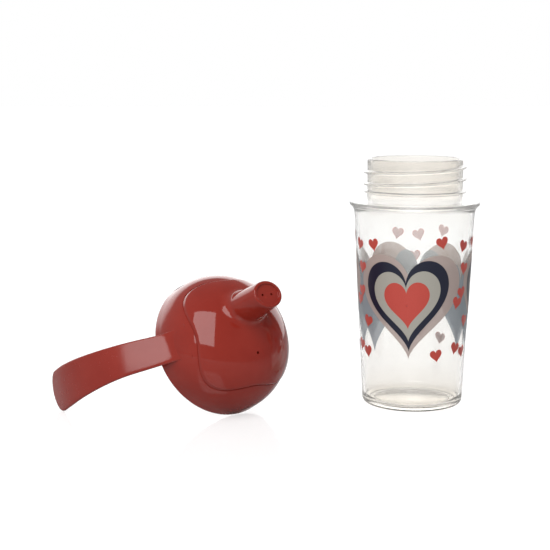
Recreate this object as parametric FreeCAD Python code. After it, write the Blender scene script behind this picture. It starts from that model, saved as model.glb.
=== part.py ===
import FreeCAD, Part

import math
import os

# Sippy cup: a threaded see-through tumbler that stands on the table, its domed
# lid lying beside it, and the silicone valve plugged inside the lid.
# Frame: millimetres, +Z up, origin at the centre of the cup's foot on the table,
# +X to the side away from the lid, -Y towards the lid's spout.

# ---------------------------------------------------------------- cup sizes
CUP_HEIGHT = 143.7
NECK_HEIGHT = 24.8
NECK_OD = 55.0
NECK_WALL = 2.0
LIP_RADIUS = 0.9
RIM_OD = 75.2
RIM_HEIGHT = 9.0
RIM_LAND = 1.6
BODY_TOP_OD = 69.0
BODY_FOOT_OD = 58.8
BODY_WALL = 1.8
FOOT_CORNER = 5.5
FOOT_RING_OD = 46.0
FOOT_RECESS = 1.2
BASE_THICKNESS = 2.2
INNER_CORNER = 5.0

# ------------------------------------------------------------- thread sizes
THREAD_PITCH = 6.8
THREAD_DEPTH = 2.0
THREAD_ROOT = 1.9
THREAD_TIP = 0.7
THREAD_TURNS = 1.87
THREAD_START = 8.4
THREAD_TURN = 100.0
THREAD_BITE = 0.4
THREAD_CLEARANCE = 0.35
BEAD_HEIGHT = 5.7
BEAD_DEPTH = 1.8
BEAD_ROOT = 2.0
BEAD_TIP = 0.8

# ---------------------------------------------------------------- lid sizes
LID_OD = 81.2
LID_SKIRT = 3.7
LID_HEIGHT = 37.5
LID_STEP = 0.4
LID_WALL = 1.8
DOME_POWER = 2.22
LID_OVERLAP = 2.0
COLLAR_WALL = 1.6
COLLAR_START = 3.0
COLLAR_TURNS = 1.6
PLUG_WALL = 1.2
PLUG_CLEARANCE = 0.2
PLUG_REACH = 3.0
PANEL_WAIST = 31.6
PANEL_CORNER = 37.0
PANEL_RAISE = 0.4

# -------------------------------------------------------------- spout sizes
SPOUT_OFFSET = 11.4
SPOUT_HEIGHT = 59.0
SPOUT_TIP_LENGTH = 18.8
SPOUT_TIP_WIDTH = 15.6
SPOUT_FOOT_LENGTH = 23.8
SPOUT_FOOT_WIDTH = 18.6
SPOUT_FLARE = 3.4
SPOUT_WALL = 2.0
SPOUT_LIP = 1.7
SPOUT_RECESS = 1.2
SPOUT_HOLE = 1.5
SPOUT_HOLE_PITCH = 6.1
VENT_OFFSET = 15.2
VENT_HOLE = 1.5

# -------------------------------------------------------------- strap sizes
STRAP_ROOT_WIDTH = 16.6
STRAP_END_WIDTH = 24.2
STRAP_THICKNESS = 2.8
STRAP_REACH = 74.0
STRAP_DROP = 66.5
STRAP_ROOT_HEIGHT = 13.5
STRAP_RISE = 8.6
STRAP_END_CORNER = 3.0
STRAP_END_BOW = 3.6

# -------------------------------------------------------------- valve sizes
SPIGOT_END = 27.0
SPIGOT_WALL = 1.8
VENT_SPIGOT_OD = 10.0
VALVE_WALL = 1.5
VALVE_GRIP = 3.5
VALVE_FLOOR = 1.2
VALVE_CLEARANCE = 0.3
VALVE_BRIDGE = 6.0
VALVE_TAB = 5.0
SLIT_LENGTH = 5.0
SLIT_WIDTH = 0.25

# ------------------------------------------------------ how the lid is laid
LID_TILT = 62.8
LID_HEADING = 39.4
LID_X = -115.0
LID_Y = -17.5

# ------------------------------------------------------------ worked out
SHOULDER = CUP_HEIGHT - NECK_HEIGHT
NECK_R = NECK_OD / 2
NECK_IN = NECK_R - NECK_WALL
THREAD_R = NECK_R + THREAD_DEPTH
RIM_R = RIM_OD / 2
LID_R = LID_OD / 2
DOME_R = LID_R - LID_STEP
COLLAR_IN = THREAD_R + THREAD_CLEARANCE
COLLAR_OUT = COLLAR_IN + COLLAR_WALL
NECK_TOP_IN_LID = NECK_HEIGHT + LID_OVERLAP

X_AXIS = FreeCAD.Vector(1, 0, 0)
Z_AXIS = FreeCAD.Vector(0, 0, 1)
ORIGIN = FreeCAD.Vector(0, 0, 0)


def at(radius, height):
    """A point of a turned outline, in the XZ plane."""
    return FreeCAD.Vector(radius, 0, height)


def line(start, end):
    return Part.LineSegment(start, end).toShape()


def arc(start, middle, end):
    return Part.Arc(start, middle, end).toShape()


def corner_arc(centre, radius, start_deg, end_deg):
    """An arc of a turned outline, from its centre and two angles."""
    spots = []
    for angle in (start_deg, (start_deg + end_deg) / 2, end_deg):
        turn = math.radians(angle)
        spots.append(centre + at(radius * math.cos(turn), radius * math.sin(turn)))
    return arc(*spots)


def turned(edges):
    """The solid that a closed outline sweeps about the Z axis."""
    face = Part.Face(Part.Wire(Part.__sortEdges__(edges)))
    return Part.makeSolid(Part.makeShell(face.revolve(ORIGIN, Z_AXIS, 360).Faces))


def tube(outer, inner, low, high):
    solid = Part.makeCylinder(outer, high - low, at(0, low))
    return solid.cut(Part.makeCylinder(inner, high - low + 2, at(0, low - 1)))


def oval(length, width, centre_y, height):
    """An oval wire, long along X, in a level plane."""
    middle = FreeCAD.Vector(0, centre_y, height)
    curve = Part.Ellipse(middle, length / 2, width / 2) if length > width else None
    if curve is None:
        curve = Part.Circle(middle, Z_AXIS, length / 2)
    return Part.Wire(curve.toShape())


def oval_block(length, width, centre_y, low, high):
    face = Part.Face(oval(length, width, centre_y, low))
    return face.extrude(FreeCAD.Vector(0, 0, high - low))


def thread(root_radius, depth, turns, start, bite):
    """A right-hand ridge, standing outwards for a positive depth, else inwards."""
    sign = 1 if depth > 0 else -1
    inside = root_radius - sign * bite
    tip = root_radius + depth
    half_root = THREAD_ROOT / 2
    half_tip = THREAD_TIP / 2
    outline = Part.makePolygon([
        at(inside, start - half_root),
        at(tip, start - half_tip),
        at(tip, start + half_tip),
        at(inside, start + half_root),
        at(inside, start - half_root),
    ])
    spine = Part.makeHelix(THREAD_PITCH, THREAD_PITCH * turns, root_radius)
    spine.translate(at(0, start))
    return Part.Wire(spine.Edges).makePipeShell([outline], True, True)


# ------------------------------------------------------------------- the cup
def make_cup():
    """Tumbler: tapered body, flared rim with a flat shoulder, beaded and threaded neck."""
    foot_r = BODY_FOOT_OD / 2
    top_r = BODY_TOP_OD / 2
    ring_r = FOOT_RING_OD / 2
    rim_low = SHOULDER - RIM_HEIGHT
    rim_root = (top_r + RIM_R) / 2 - 0.9
    inner_foot = foot_r - BODY_WALL
    inner_top = top_r - BODY_WALL
    under = SHOULDER - BODY_WALL
    bead = SHOULDER + BEAD_HEIGHT
    outline = [
        line(at(0, FOOT_RECESS), at(ring_r - FOOT_RECESS, FOOT_RECESS)),
        line(at(ring_r - FOOT_RECESS, FOOT_RECESS), at(ring_r, 0)),
        line(at(ring_r, 0), at(foot_r - FOOT_CORNER, 0)),
        corner_arc(at(foot_r - FOOT_CORNER, FOOT_CORNER), FOOT_CORNER, -90, 0),
        line(at(foot_r, FOOT_CORNER), at(top_r, rim_low)),
        arc(
            at(top_r, rim_low),
            at(rim_root, SHOULDER - RIM_HEIGHT * 0.45),
            at(RIM_R, SHOULDER - RIM_LAND),
        ),
        line(at(RIM_R, SHOULDER - RIM_LAND), at(RIM_R, SHOULDER)),
        line(at(RIM_R, SHOULDER), at(NECK_R, SHOULDER)),
        line(at(NECK_R, SHOULDER), at(NECK_R, bead - BEAD_ROOT / 2)),
        line(at(NECK_R, bead - BEAD_ROOT / 2), at(NECK_R + BEAD_DEPTH, bead - BEAD_TIP / 2)),
        line(at(NECK_R + BEAD_DEPTH, bead - BEAD_TIP / 2), at(NECK_R + BEAD_DEPTH, bead + BEAD_TIP / 2)),
        line(at(NECK_R + BEAD_DEPTH, bead + BEAD_TIP / 2), at(NECK_R, bead + BEAD_ROOT / 2)),
        line(at(NECK_R, bead + BEAD_ROOT / 2), at(NECK_R, CUP_HEIGHT - LIP_RADIUS)),
        corner_arc(at(NECK_R - LIP_RADIUS, CUP_HEIGHT - LIP_RADIUS), LIP_RADIUS, 0, 90),
        line(at(NECK_R - LIP_RADIUS, CUP_HEIGHT), at(NECK_IN, CUP_HEIGHT)),
        line(at(NECK_IN, CUP_HEIGHT), at(NECK_IN, under)),
        line(at(NECK_IN, under), at(RIM_R - BODY_WALL, under)),
        arc(
            at(RIM_R - BODY_WALL, under),
            at(rim_root - BODY_WALL, SHOULDER - RIM_HEIGHT * 0.45),
            at(inner_top, rim_low),
        ),
        line(at(inner_top, rim_low), at(inner_foot, BASE_THICKNESS + INNER_CORNER)),
        corner_arc(
            at(inner_foot - INNER_CORNER, BASE_THICKNESS + INNER_CORNER),
            INNER_CORNER, 0, -90,
        ),
        line(
            at(inner_foot - INNER_CORNER, BASE_THICKNESS),
            at(0, BASE_THICKNESS + FOOT_RECESS / 2),
        ),
        line(at(0, BASE_THICKNESS + FOOT_RECESS / 2), at(0, FOOT_RECESS)),
    ]
    start = SHOULDER + THREAD_START
    ridge = thread(NECK_R, THREAD_DEPTH, THREAD_TURNS, start, THREAD_BITE)
    ridge.rotate(ORIGIN, Z_AXIS, THREAD_TURN)
    return turned(outline).fuse(ridge)


# ------------------------------------------------------------------- the lid
def dome_curve(radius, low, height):
    """The dome's side as a curve from its widest ring to its top."""
    spots = []
    steps = 10
    for step in range(steps + 1):
        turn = math.pi / 2 * step / steps
        across = radius * math.cos(turn) ** (2 / DOME_POWER)
        up = height * math.sin(turn) ** (2 / DOME_POWER)
        spots.append(at(max(across, 0), low + up))
    curve = Part.BSplineCurve()
    curve.interpolate(
        Points=spots,
        InitialTangent=FreeCAD.Vector(0, 0, 1),
        FinalTangent=FreeCAD.Vector(-1, 0, 0),
    )
    return curve.toShape()


def dome_solid(skirt_radius, radius, low, height, floor):
    """A solid dome on a straight skirt that starts at floor."""
    edges = [
        line(at(0, floor), at(skirt_radius, floor)),
        line(at(skirt_radius, floor), at(radius, low)),
        dome_curve(radius, low, height),
        line(at(0, low + height), at(0, floor)),
    ]
    return turned(edges)


def panel_block():
    """The raised field on top: a square with four hollow sides."""
    mean = (PANEL_WAIST + PANEL_CORNER) / 2
    swing = (PANEL_CORNER - PANEL_WAIST) / 2
    spots = []
    for step in range(32):
        turn = 2 * math.pi * step / 32
        reach = mean - swing * math.cos(4 * turn)
        spots.append(FreeCAD.Vector(reach * math.cos(turn), reach * math.sin(turn), LID_SKIRT))
    curve = Part.BSplineCurve()
    curve.interpolate(Points=spots, PeriodicFlag=True)
    face = Part.Face(Part.Wire(curve.toShape()))
    block = face.extrude(FreeCAD.Vector(0, 0, LID_HEIGHT))
    raised = dome_solid(
        LID_R + PANEL_RAISE, DOME_R + PANEL_RAISE, LID_SKIRT,
        LID_HEIGHT - LID_SKIRT + PANEL_RAISE, 0,
    )
    return raised.common(block)


def spout_solid():
    """The drinking spout: oval, tapered, flaring where it meets the dome."""
    low = LID_HEIGHT - 5.0
    rise = SPOUT_HEIGHT - LID_HEIGHT
    levels = [
        (low, 2 * SPOUT_FLARE),
        (LID_HEIGHT - 1.2, 0.75 * SPOUT_FLARE),
        (LID_HEIGHT + 1.6, 0.1 * SPOUT_FLARE),
    ]
    rings = []
    for height, flare in levels:
        rings.append(oval(
            SPOUT_FOOT_LENGTH + 2 * flare, SPOUT_FOOT_WIDTH + 2 * flare, SPOUT_OFFSET, height,
        ))
    mid_length = (SPOUT_FOOT_LENGTH + SPOUT_TIP_LENGTH) / 2
    mid_width = (SPOUT_FOOT_WIDTH + SPOUT_TIP_WIDTH) / 2
    rings.append(oval(mid_length, mid_width, SPOUT_OFFSET, LID_HEIGHT + rise * 0.5))
    rings.append(oval(SPOUT_TIP_LENGTH, SPOUT_TIP_WIDTH, SPOUT_OFFSET, SPOUT_HEIGHT))
    block = Part.makeLoft(rings, True)
    tip_edges = [e for e in block.Edges if abs(e.BoundBox.ZMin - SPOUT_HEIGHT) < 0.01]
    return block.makeFillet(0.8, tip_edges[:1])


def spout_hollows():
    """The bore up the spout, the dished tip and the two drinking holes."""
    roof = SPOUT_HEIGHT - SPOUT_RECESS - SPOUT_LIP
    bore = Part.makeLoft([
        oval(
            SPOUT_FOOT_LENGTH - 2 * SPOUT_WALL, SPOUT_FOOT_WIDTH - 2 * SPOUT_WALL,
            SPOUT_OFFSET, SPIGOT_END - 1,
        ),
        oval(
            SPOUT_TIP_LENGTH - 2 * SPOUT_WALL, SPOUT_TIP_WIDTH - 2 * SPOUT_WALL,
            SPOUT_OFFSET, roof,
        ),
    ], True)
    dish = oval_block(
        SPOUT_TIP_LENGTH - 2 * SPOUT_LIP, SPOUT_TIP_WIDTH - 2 * SPOUT_LIP,
        SPOUT_OFFSET, SPOUT_HEIGHT - SPOUT_RECESS, SPOUT_HEIGHT + 1,
    )
    cuts = [bore, dish]
    for side in (-1, 1):
        place = FreeCAD.Vector(side * SPOUT_HOLE_PITCH / 2, SPOUT_OFFSET, roof - 1)
        cuts.append(Part.makeCylinder(SPOUT_HOLE / 2, SPOUT_HEIGHT - roof + 2, place))
    vent = FreeCAD.Vector(0, -VENT_OFFSET, SPIGOT_END - 1)
    cuts.append(Part.makeCylinder(VENT_HOLE / 2, LID_HEIGHT, vent))
    vent_bore = VENT_SPIGOT_OD / 2 - SPIGOT_WALL
    cuts.append(Part.makeCylinder(vent_bore, LID_HEIGHT - LID_WALL - 4 - SPIGOT_END, vent))
    return cuts


def strap_line(offset):
    """The strap's side curve, moved out by offset along its own normal."""
    centre = Part.BSplineCurve()
    centre.interpolate(Points=[
        at(-0.82 * DOME_R, STRAP_ROOT_HEIGHT + STRAP_RISE),
        at(-(DOME_R - 2.2), STRAP_ROOT_HEIGHT),
        at(-STRAP_REACH * 0.66, STRAP_ROOT_HEIGHT * 0.3),
        at(-STRAP_REACH * 0.818, -STRAP_DROP * 0.078),
        at(-STRAP_REACH * 0.93, -STRAP_DROP * 0.276),
        at(-STRAP_REACH * 0.99, -STRAP_DROP * 0.51),
        at(-STRAP_REACH * 0.997, -STRAP_DROP * 0.74),
        at(-STRAP_REACH * 0.965, -STRAP_DROP),
    ])
    first, last = centre.FirstParameter, centre.LastParameter
    spots = []
    steps = 16
    for step in range(steps + 1):
        where = first + (last - first) * step / steps
        tangent = centre.tangent(where)[0]
        normal = FreeCAD.Vector(tangent.z, 0, -tangent.x)
        spots.append(centre.value(where) + normal * offset)
    curve = Part.BSplineCurve()
    curve.interpolate(Points=spots)
    return curve, spots


def strap_solid():
    """The open carrying strap: one curved band that widens towards its end."""
    upper, upper_spots = strap_line(STRAP_THICKNESS / 2)
    lower, lower_spots = strap_line(-STRAP_THICKNESS / 2)
    side = Part.Wire([
        upper.toShape(),
        line(upper_spots[-1], lower_spots[-1]),
        lower.toShape(),
        line(lower_spots[0], upper_spots[0]),
    ])
    reach = STRAP_END_WIDTH
    band = Part.Face(side).extrude(FreeCAD.Vector(0, 2 * reach, 0))
    band.translate(FreeCAD.Vector(0, -reach, 0))
    root = STRAP_ROOT_WIDTH / 2
    end = STRAP_END_WIDTH / 2
    low = -STRAP_DROP + STRAP_THICKNESS / 4
    high = STRAP_ROOT_HEIGHT + STRAP_RISE + 2 * STRAP_THICKNESS
    corner = STRAP_END_CORNER
    square = low + STRAP_END_BOW + corner

    def flat(y, z):
        return FreeCAD.Vector(-STRAP_REACH - STRAP_THICKNESS, y, z)

    edges = [
        line(flat(-root, high), flat(root, high)),
        arc(
            flat(-end + corner, low + STRAP_END_BOW * 0.5),
            flat(0, low),
            flat(end - corner, low + STRAP_END_BOW * 0.5),
        ),
    ]
    for side_sign in (-1, 1):
        flank = Part.BSplineCurve()
        flank.interpolate(Points=[
            flat(side_sign * root, high),
            flat(side_sign * (root + 0.12 * (end - root)), 0),
            flat(side_sign * (root + 0.62 * (end - root)), -0.46 * STRAP_DROP),
            flat(side_sign * end, square),
        ])
        edges.append(flank.toShape())
        edges.append(arc(
            flat(side_sign * end, square),
            flat(side_sign * (end - 0.25 * corner), square - 0.72 * corner),
            flat(side_sign * (end - corner), low + STRAP_END_BOW * 0.5),
        ))
    front = Part.Face(Part.Wire(Part.__sortEdges__(edges)))
    trimmed = band.common(front.extrude(X_AXIS * (STRAP_REACH + 2 * STRAP_THICKNESS)))
    return trimmed.Solids[0]


def make_lid():
    """Lid in its own frame: open rim at z = 0, dome up, spout towards +Y."""
    rise = LID_HEIGHT - LID_SKIRT
    outer = dome_solid(LID_R, DOME_R, LID_SKIRT, rise, 0)
    inner = dome_solid(
        LID_R - LID_WALL, DOME_R - LID_WALL, LID_SKIRT, rise - LID_WALL, -1,
    )
    shell = outer.fuse([panel_block(), spout_solid(), strap_solid()]).cut(inner)
    plug = NECK_IN - PLUG_CLEARANCE
    inserts = [
        tube(COLLAR_OUT, COLLAR_IN, COLLAR_START, LID_HEIGHT),
        tube(plug, plug - PLUG_WALL, NECK_TOP_IN_LID - PLUG_REACH, LID_HEIGHT),
        oval_block(
            SPOUT_FOOT_LENGTH, SPOUT_FOOT_WIDTH, SPOUT_OFFSET, SPIGOT_END, LID_HEIGHT,
        ),
        Part.makeCylinder(
            VENT_SPIGOT_OD / 2, LID_HEIGHT - SPIGOT_END,
            FreeCAD.Vector(0, -VENT_OFFSET, SPIGOT_END),
        ),
    ]
    core = dome_solid(
        LID_R - LID_WALL / 2, DOME_R - LID_WALL / 2, LID_SKIRT, rise - LID_WALL / 2, 0,
    )
    held = inserts[0].fuse(inserts[1:]).common(core)
    depth = THREAD_DEPTH - 2 * THREAD_CLEARANCE
    start = THREAD_START + LID_OVERLAP
    ridge = thread(COLLAR_IN, -depth, COLLAR_TURNS, start, THREAD_BITE)
    body = shell.fuse([held, ridge])
    for hollow in spout_hollows():
        body = body.cut(hollow)
    return body


def make_valve():
    """One silicone moulding: two slit cups on a bridge, with a pull tab."""
    gap = VALVE_CLEARANCE
    floor_top = SPIGOT_END - gap
    low = floor_top - VALVE_FLOOR
    high = SPIGOT_END + VALVE_GRIP
    pad = 2 * (gap + VALVE_WALL)
    vent_r = VENT_SPIGOT_OD / 2 + gap
    vent_low = FreeCAD.Vector(0, -VENT_OFFSET, low)
    spout_y = SPOUT_OFFSET - SPOUT_FOOT_WIDTH / 2
    vent_y = -VENT_OFFSET + VENT_SPIGOT_OD / 2
    bridge = Part.makeBox(
        VALVE_BRIDGE, spout_y - vent_y, VALVE_FLOOR,
        FreeCAD.Vector(-VALVE_BRIDGE / 2, vent_y, low),
    )
    tab_start = -VENT_OFFSET
    tab = Part.makeBox(
        VALVE_BRIDGE, VALVE_TAB, VALVE_FLOOR,
        FreeCAD.Vector(VENT_SPIGOT_OD / 2, tab_start - VALVE_TAB / 2, low),
    )
    body = oval_block(
        SPOUT_FOOT_LENGTH + pad, SPOUT_FOOT_WIDTH + pad, SPOUT_OFFSET, low, high,
    ).fuse([
        Part.makeCylinder(vent_r + VALVE_WALL, high - low, vent_low),
        bridge,
        tab,
    ])
    wells = [
        oval_block(
            SPOUT_FOOT_LENGTH + 2 * gap, SPOUT_FOOT_WIDTH + 2 * gap,
            SPOUT_OFFSET, floor_top, high + 1,
        ),
        Part.makeCylinder(
            vent_r, high - floor_top + 1, FreeCAD.Vector(0, -VENT_OFFSET, floor_top),
        ),
    ]
    for centre in (SPOUT_OFFSET, -VENT_OFFSET):
        wells.append(Part.makeBox(
            SLIT_LENGTH, SLIT_WIDTH, VALVE_FLOOR + 2,
            FreeCAD.Vector(-SLIT_LENGTH / 2, centre - SLIT_WIDTH / 2, low - 1),
        ))
    for well in wells:
        body = body.cut(well)
    room = NECK_IN - PLUG_CLEARANCE - PLUG_WALL - gap
    return body.common(Part.makeCylinder(room, high - low + 2, at(0, low - 1)))


# ------------------------------------------------------------ laying the lid
def lid_place(spin):
    """Where the lid lies: on the lowest point of its rim."""
    turn = FreeCAD.Rotation(Z_AXIS, LID_HEADING)
    turn = turn.multiply(FreeCAD.Rotation(X_AXIS, LID_TILT))
    turn = turn.multiply(FreeCAD.Rotation(Z_AXIS, spin))
    up = LID_R * math.sin(math.radians(LID_TILT))
    return FreeCAD.Placement(FreeCAD.Vector(LID_X, LID_Y, up), turn)


def resting_spin():
    """The turn about the lid's own axis that lets the strap's end touch down."""
    spots = strap_solid().tessellate(0.05)[0]
    low, high = -25.0, 25.0
    for _ in range(40):
        middle = (low + high) / 2
        place = lid_place(middle)
        lowest = min(place.multVec(spot).z for spot in spots)
        if lowest > 0:
            low = middle
        else:
            high = middle
    return low


def save(name, shape):
    solid = shape.removeSplitter()
    if len(solid.Solids) != 1:
        raise RuntimeError(name + " has " + str(len(solid.Solids)) + " solids")
    solid = solid.Solids[0]
    if not solid.isValid():
        raise RuntimeError(name + " is not valid")
    solid.exportStep("parts/" + name + ".step")
    print(name, "volume cm3", round(solid.Volume / 1000, 2), solid.BoundBox)


def main():
    os.makedirs("parts", exist_ok=True)
    spin = resting_spin()
    place = lid_place(spin)
    print("lid spin", round(spin, 3), "axis", place.Rotation.multVec(Z_AXIS))
    save("cup_body", make_cup())
    for name, maker in (("lid_shell", make_lid), ("spill_valve", make_valve)):
        piece = maker()
        piece.Placement = place
        save(name, piece)


main()
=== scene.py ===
"""Looks of a spill-proof drinking cup: a clear printed tumbler, its red lid and the lid's valve.

The cup stands on a white table and the lid lies beside it. Sizes are in millimetres in
each class and turn to metres where a mesh is made.
"""

import logging
import math
from collections.abc import Callable, Iterable, Sequence
from dataclasses import dataclass, field
from enum import Enum

import bmesh
import bpy
import numpy as np
from mathutils import Matrix, Vector

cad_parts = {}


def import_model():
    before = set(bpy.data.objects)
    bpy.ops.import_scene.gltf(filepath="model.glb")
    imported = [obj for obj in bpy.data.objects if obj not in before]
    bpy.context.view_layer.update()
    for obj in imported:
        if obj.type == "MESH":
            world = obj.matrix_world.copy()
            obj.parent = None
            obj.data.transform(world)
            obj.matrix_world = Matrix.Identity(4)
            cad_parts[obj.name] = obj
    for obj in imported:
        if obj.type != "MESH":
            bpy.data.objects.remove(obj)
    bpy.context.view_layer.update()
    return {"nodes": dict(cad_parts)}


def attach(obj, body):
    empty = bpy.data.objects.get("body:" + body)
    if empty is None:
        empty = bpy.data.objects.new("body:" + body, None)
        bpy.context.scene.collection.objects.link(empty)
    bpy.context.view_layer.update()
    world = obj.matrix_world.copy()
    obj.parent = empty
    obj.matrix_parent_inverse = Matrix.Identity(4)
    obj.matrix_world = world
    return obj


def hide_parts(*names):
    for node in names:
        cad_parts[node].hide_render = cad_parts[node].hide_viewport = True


LOG = logging.getLogger("drinking_cup")

MM = 0.001
FULL_TURN = 2.0 * math.pi
Point = tuple[float, float, float]
Flat = tuple[float, float]


# ---------------------------------------------------------------- shared tools
def linear_colour(code: str, alpha: float = 1.0) -> tuple[float, float, float, float]:
    """Turn an sRGB hex code to a linear colour.

    Args:
        code: Six hex digits, with or without a leading hash sign.
        alpha: The fourth value of the result.

    Returns:
        Linear red, green and blue, and alpha.
    """
    digits = code.lstrip("#")
    linear = []
    for start in (0, 2, 4):
        share = int(digits[start:start + 2], 16) / 255.0
        if share <= 0.04045:
            linear.append(share / 12.92)
        else:
            linear.append(((share + 0.055) / 1.055) ** 2.4)
    return linear[0], linear[1], linear[2], alpha


def add_node(
    tree: bpy.types.NodeTree, kind: str, inputs: dict | None = None, **settings: object
) -> bpy.types.Node:
    """Add one node with its settings and links.

    Args:
        tree: The node tree that takes the node.
        kind: The node's Blender type name.
        inputs: What each input gets: a plain value, or another node's output socket.
        **settings: Properties of the node itself.

    Returns:
        The new node.
    """
    node = tree.nodes.new(kind)
    for name, value in settings.items():
        setattr(node, name, value)
    for name, value in (inputs or {}).items():
        if isinstance(value, bpy.types.NodeSocket):
            tree.links.new(value, node.inputs[name])
        else:
            node.inputs[name].default_value = value
    return node


def blank_material(name: str) -> bpy.types.Material:
    """Make a node material with no nodes in it yet."""
    material = bpy.data.materials.new(name)
    material.use_nodes = True
    material.node_tree.nodes.clear()
    return material


def noise(
    tree: bpy.types.NodeTree, where: bpy.types.Node, width: float, detail: float
) -> bpy.types.NodeSocket:
    """Give the strength of a noise whose patches are about width millimetres wide."""
    return add_node(tree, "ShaderNodeTexNoise", {
        "Vector": where.outputs["Object"], "Scale": 1.0 / (width * MM), "Detail": detail,
    }).outputs["Fac"]


def two_tone(
    tree: bpy.types.NodeTree, share: bpy.types.NodeSocket,
    low: tuple[float, Sequence[float]], high: tuple[float, Sequence[float]],
) -> bpy.types.NodeSocket:
    """Blend two linear colours, each with its place on the ramp, by a share."""
    ramp = add_node(tree, "ShaderNodeValToRGB", {"Fac": share})
    for stop, (position, colour) in zip(ramp.color_ramp.elements, (low, high)):
        stop.position = position
        stop.color = colour
    return ramp.outputs["Color"]


def show(tree: bpy.types.NodeTree, surface: bpy.types.NodeSocket) -> None:
    """Send a shader to the material's output."""
    add_node(tree, "ShaderNodeOutputMaterial", {"Surface": surface})


def smooth_step(share: float) -> float:
    """Ease from 0 to 1, flat at both ends."""
    held = min(max(share, 0.0), 1.0)
    return held * held * (3.0 - 2.0 * held)


def spread(start: float, end: float, count: int) -> list[float]:
    """Give count values from start to end, both included."""
    return [start + (end - start) * step / (count - 1) for step in range(count)]


def round_angles(count: int, start: float = 0.0) -> list[float]:
    """Give count angles round a full turn, the first one start steps past zero."""
    return [FULL_TURN * (step + start) / count for step in range(count)]


def rounded_outline(corners: Sequence[tuple[float, float, float]], steps: int = 6) -> list[Flat]:
    """Round the corners of an open outline.

    Args:
        corners: Across, up and corner radius of each point, in order.
        steps: Spans that each rounded corner gets.

    Returns:
        The outline's points.
    """
    outline: list[Flat] = []
    for index, (across, up, radius) in enumerate(corners):
        here = Vector((across, up))
        if radius <= 0 or index in (0, len(corners) - 1):
            outline.append((across, up))
            continue
        before = Vector(corners[index - 1][:2]) - here
        after = Vector(corners[index + 1][:2]) - here
        room = 0.49 * min(before.length, after.length)
        half = before.angle(after) / 2.0
        reach = min(radius / math.tan(half), room)
        first = here + before.normalized() * reach
        last = here + after.normalized() * reach
        bend = reach * math.tan(half)
        middle = here + (before.normalized() + after.normalized()).normalized() * (
            bend / math.sin(half)
        )
        from_angle = math.atan2(first.y - middle.y, first.x - middle.x)
        sweep = math.atan2(last.y - middle.y, last.x - middle.x) - from_angle
        sweep = (sweep + math.pi) % FULL_TURN - math.pi
        for angle in spread(from_angle, from_angle + sweep, steps + 1):
            outline.append((middle.x + bend * math.cos(angle), middle.y + bend * math.sin(angle)))
    return outline


class Skin:
    """Points and faces of one mesh while it is being made, in millimetres."""

    def __init__(self) -> None:
        """Start with no points."""
        self.points: list[Point] = []
        self.faces: list[list[int]] = []

    def point(self, across: float, back: float, up: float) -> int:
        """Add one point and return its number."""
        self.points.append((across, back, up))
        return len(self.points) - 1

    def row(self, points: Iterable[Point]) -> list[int]:
        """Add a row of points and return their numbers."""
        return [self.point(*spot) for spot in points]

    def face(self, corners: Iterable[int]) -> None:
        """Add a face, leaving out corners that are the same point."""
        kept: list[int] = []
        for corner in corners:
            if corner not in kept:
                kept.append(corner)
        if len(kept) > 2:
            self.faces.append(kept)

    def band(self, first: Sequence[int], second: Sequence[int], closed: bool = True) -> None:
        """Join two rows of equal length by quads.

        Args:
            first: Point numbers of one row.
            second: Point numbers of the other.
            closed: Whether the rows are rings.
        """
        count = len(first)
        for here in range(count if closed else count - 1):
            after = (here + 1) % count
            self.face([first[here], first[after], second[after], second[here]])

    def stack(self, rows: Sequence[Sequence[int]], closed: bool = True) -> None:
        """Join each row to the next one."""
        for first, second in zip(rows[:-1], rows[1:]):
            self.band(first, second, closed)

    def cap(self, ring: Sequence[int], centre: Point) -> None:
        """Close a ring by a fan to a centre point."""
        middle = self.point(*centre)
        for here in range(len(ring)):
            self.face([ring[here], ring[(here + 1) % len(ring)], middle])

    def build(self, name: str, place: Matrix | None = None, crease: float = 32.0) -> bpy.types.Object:
        """Turn the points and faces to a mesh object in metres.

        Args:
            name: The object's name.
            place: Where the piece lies, as a matrix in millimetres.
            crease: The angle in degrees above which an edge stays sharp.

        Returns:
            The new object, linked to the scene.
        """
        spot_matrix = Matrix.Scale(MM, 4) @ (place or Matrix.Identity(4))
        mesh = bpy.data.meshes.new(name)
        mesh.from_pydata(self.points, [], self.faces)
        mesh.transform(spot_matrix)
        shape = bmesh.new()
        shape.from_mesh(mesh)
        bmesh.ops.remove_doubles(shape, verts=shape.verts, dist=0.002 * MM)
        bmesh.ops.recalc_face_normals(shape, faces=shape.faces)
        shape.to_mesh(mesh)
        shape.free()
        mesh.shade_smooth()
        mesh.set_sharp_from_angle(angle=math.radians(crease))
        piece = bpy.data.objects.new(name, mesh)
        bpy.context.scene.collection.objects.link(piece)
        return piece


class Joining(Enum):
    """How one closed mesh is worked into another."""

    ADD = "UNION"
    CUT = "DIFFERENCE"


def work_in(piece: bpy.types.Object, tool: bpy.types.Object, how: Joining) -> None:
    """Add or cut one closed mesh into another, and delete the tool.

    Args:
        piece: The object that keeps the result.
        tool: The object that is added or cut away.
        how: Whether the tool adds or cuts.
    """
    change = piece.modifiers.new("work", "BOOLEAN")
    change.operation = how.value
    change.solver = "EXACT"
    change.object = tool
    bpy.context.view_layer.update()
    graph = bpy.context.evaluated_depsgraph_get()
    result = bpy.data.meshes.new_from_object(piece.evaluated_get(graph))
    old = piece.data
    piece.modifiers.clear()
    piece.data = result
    bpy.data.meshes.remove(old)
    tool_mesh = tool.data
    bpy.data.objects.remove(tool)
    bpy.data.meshes.remove(tool_mesh)


def settle_shading(piece: bpy.types.Object, crease: float) -> None:
    """Shade a finished mesh smooth, with its steeper edges left sharp."""
    piece.data.shade_smooth()
    piece.data.set_sharp_from_angle(angle=math.radians(crease))


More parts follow.
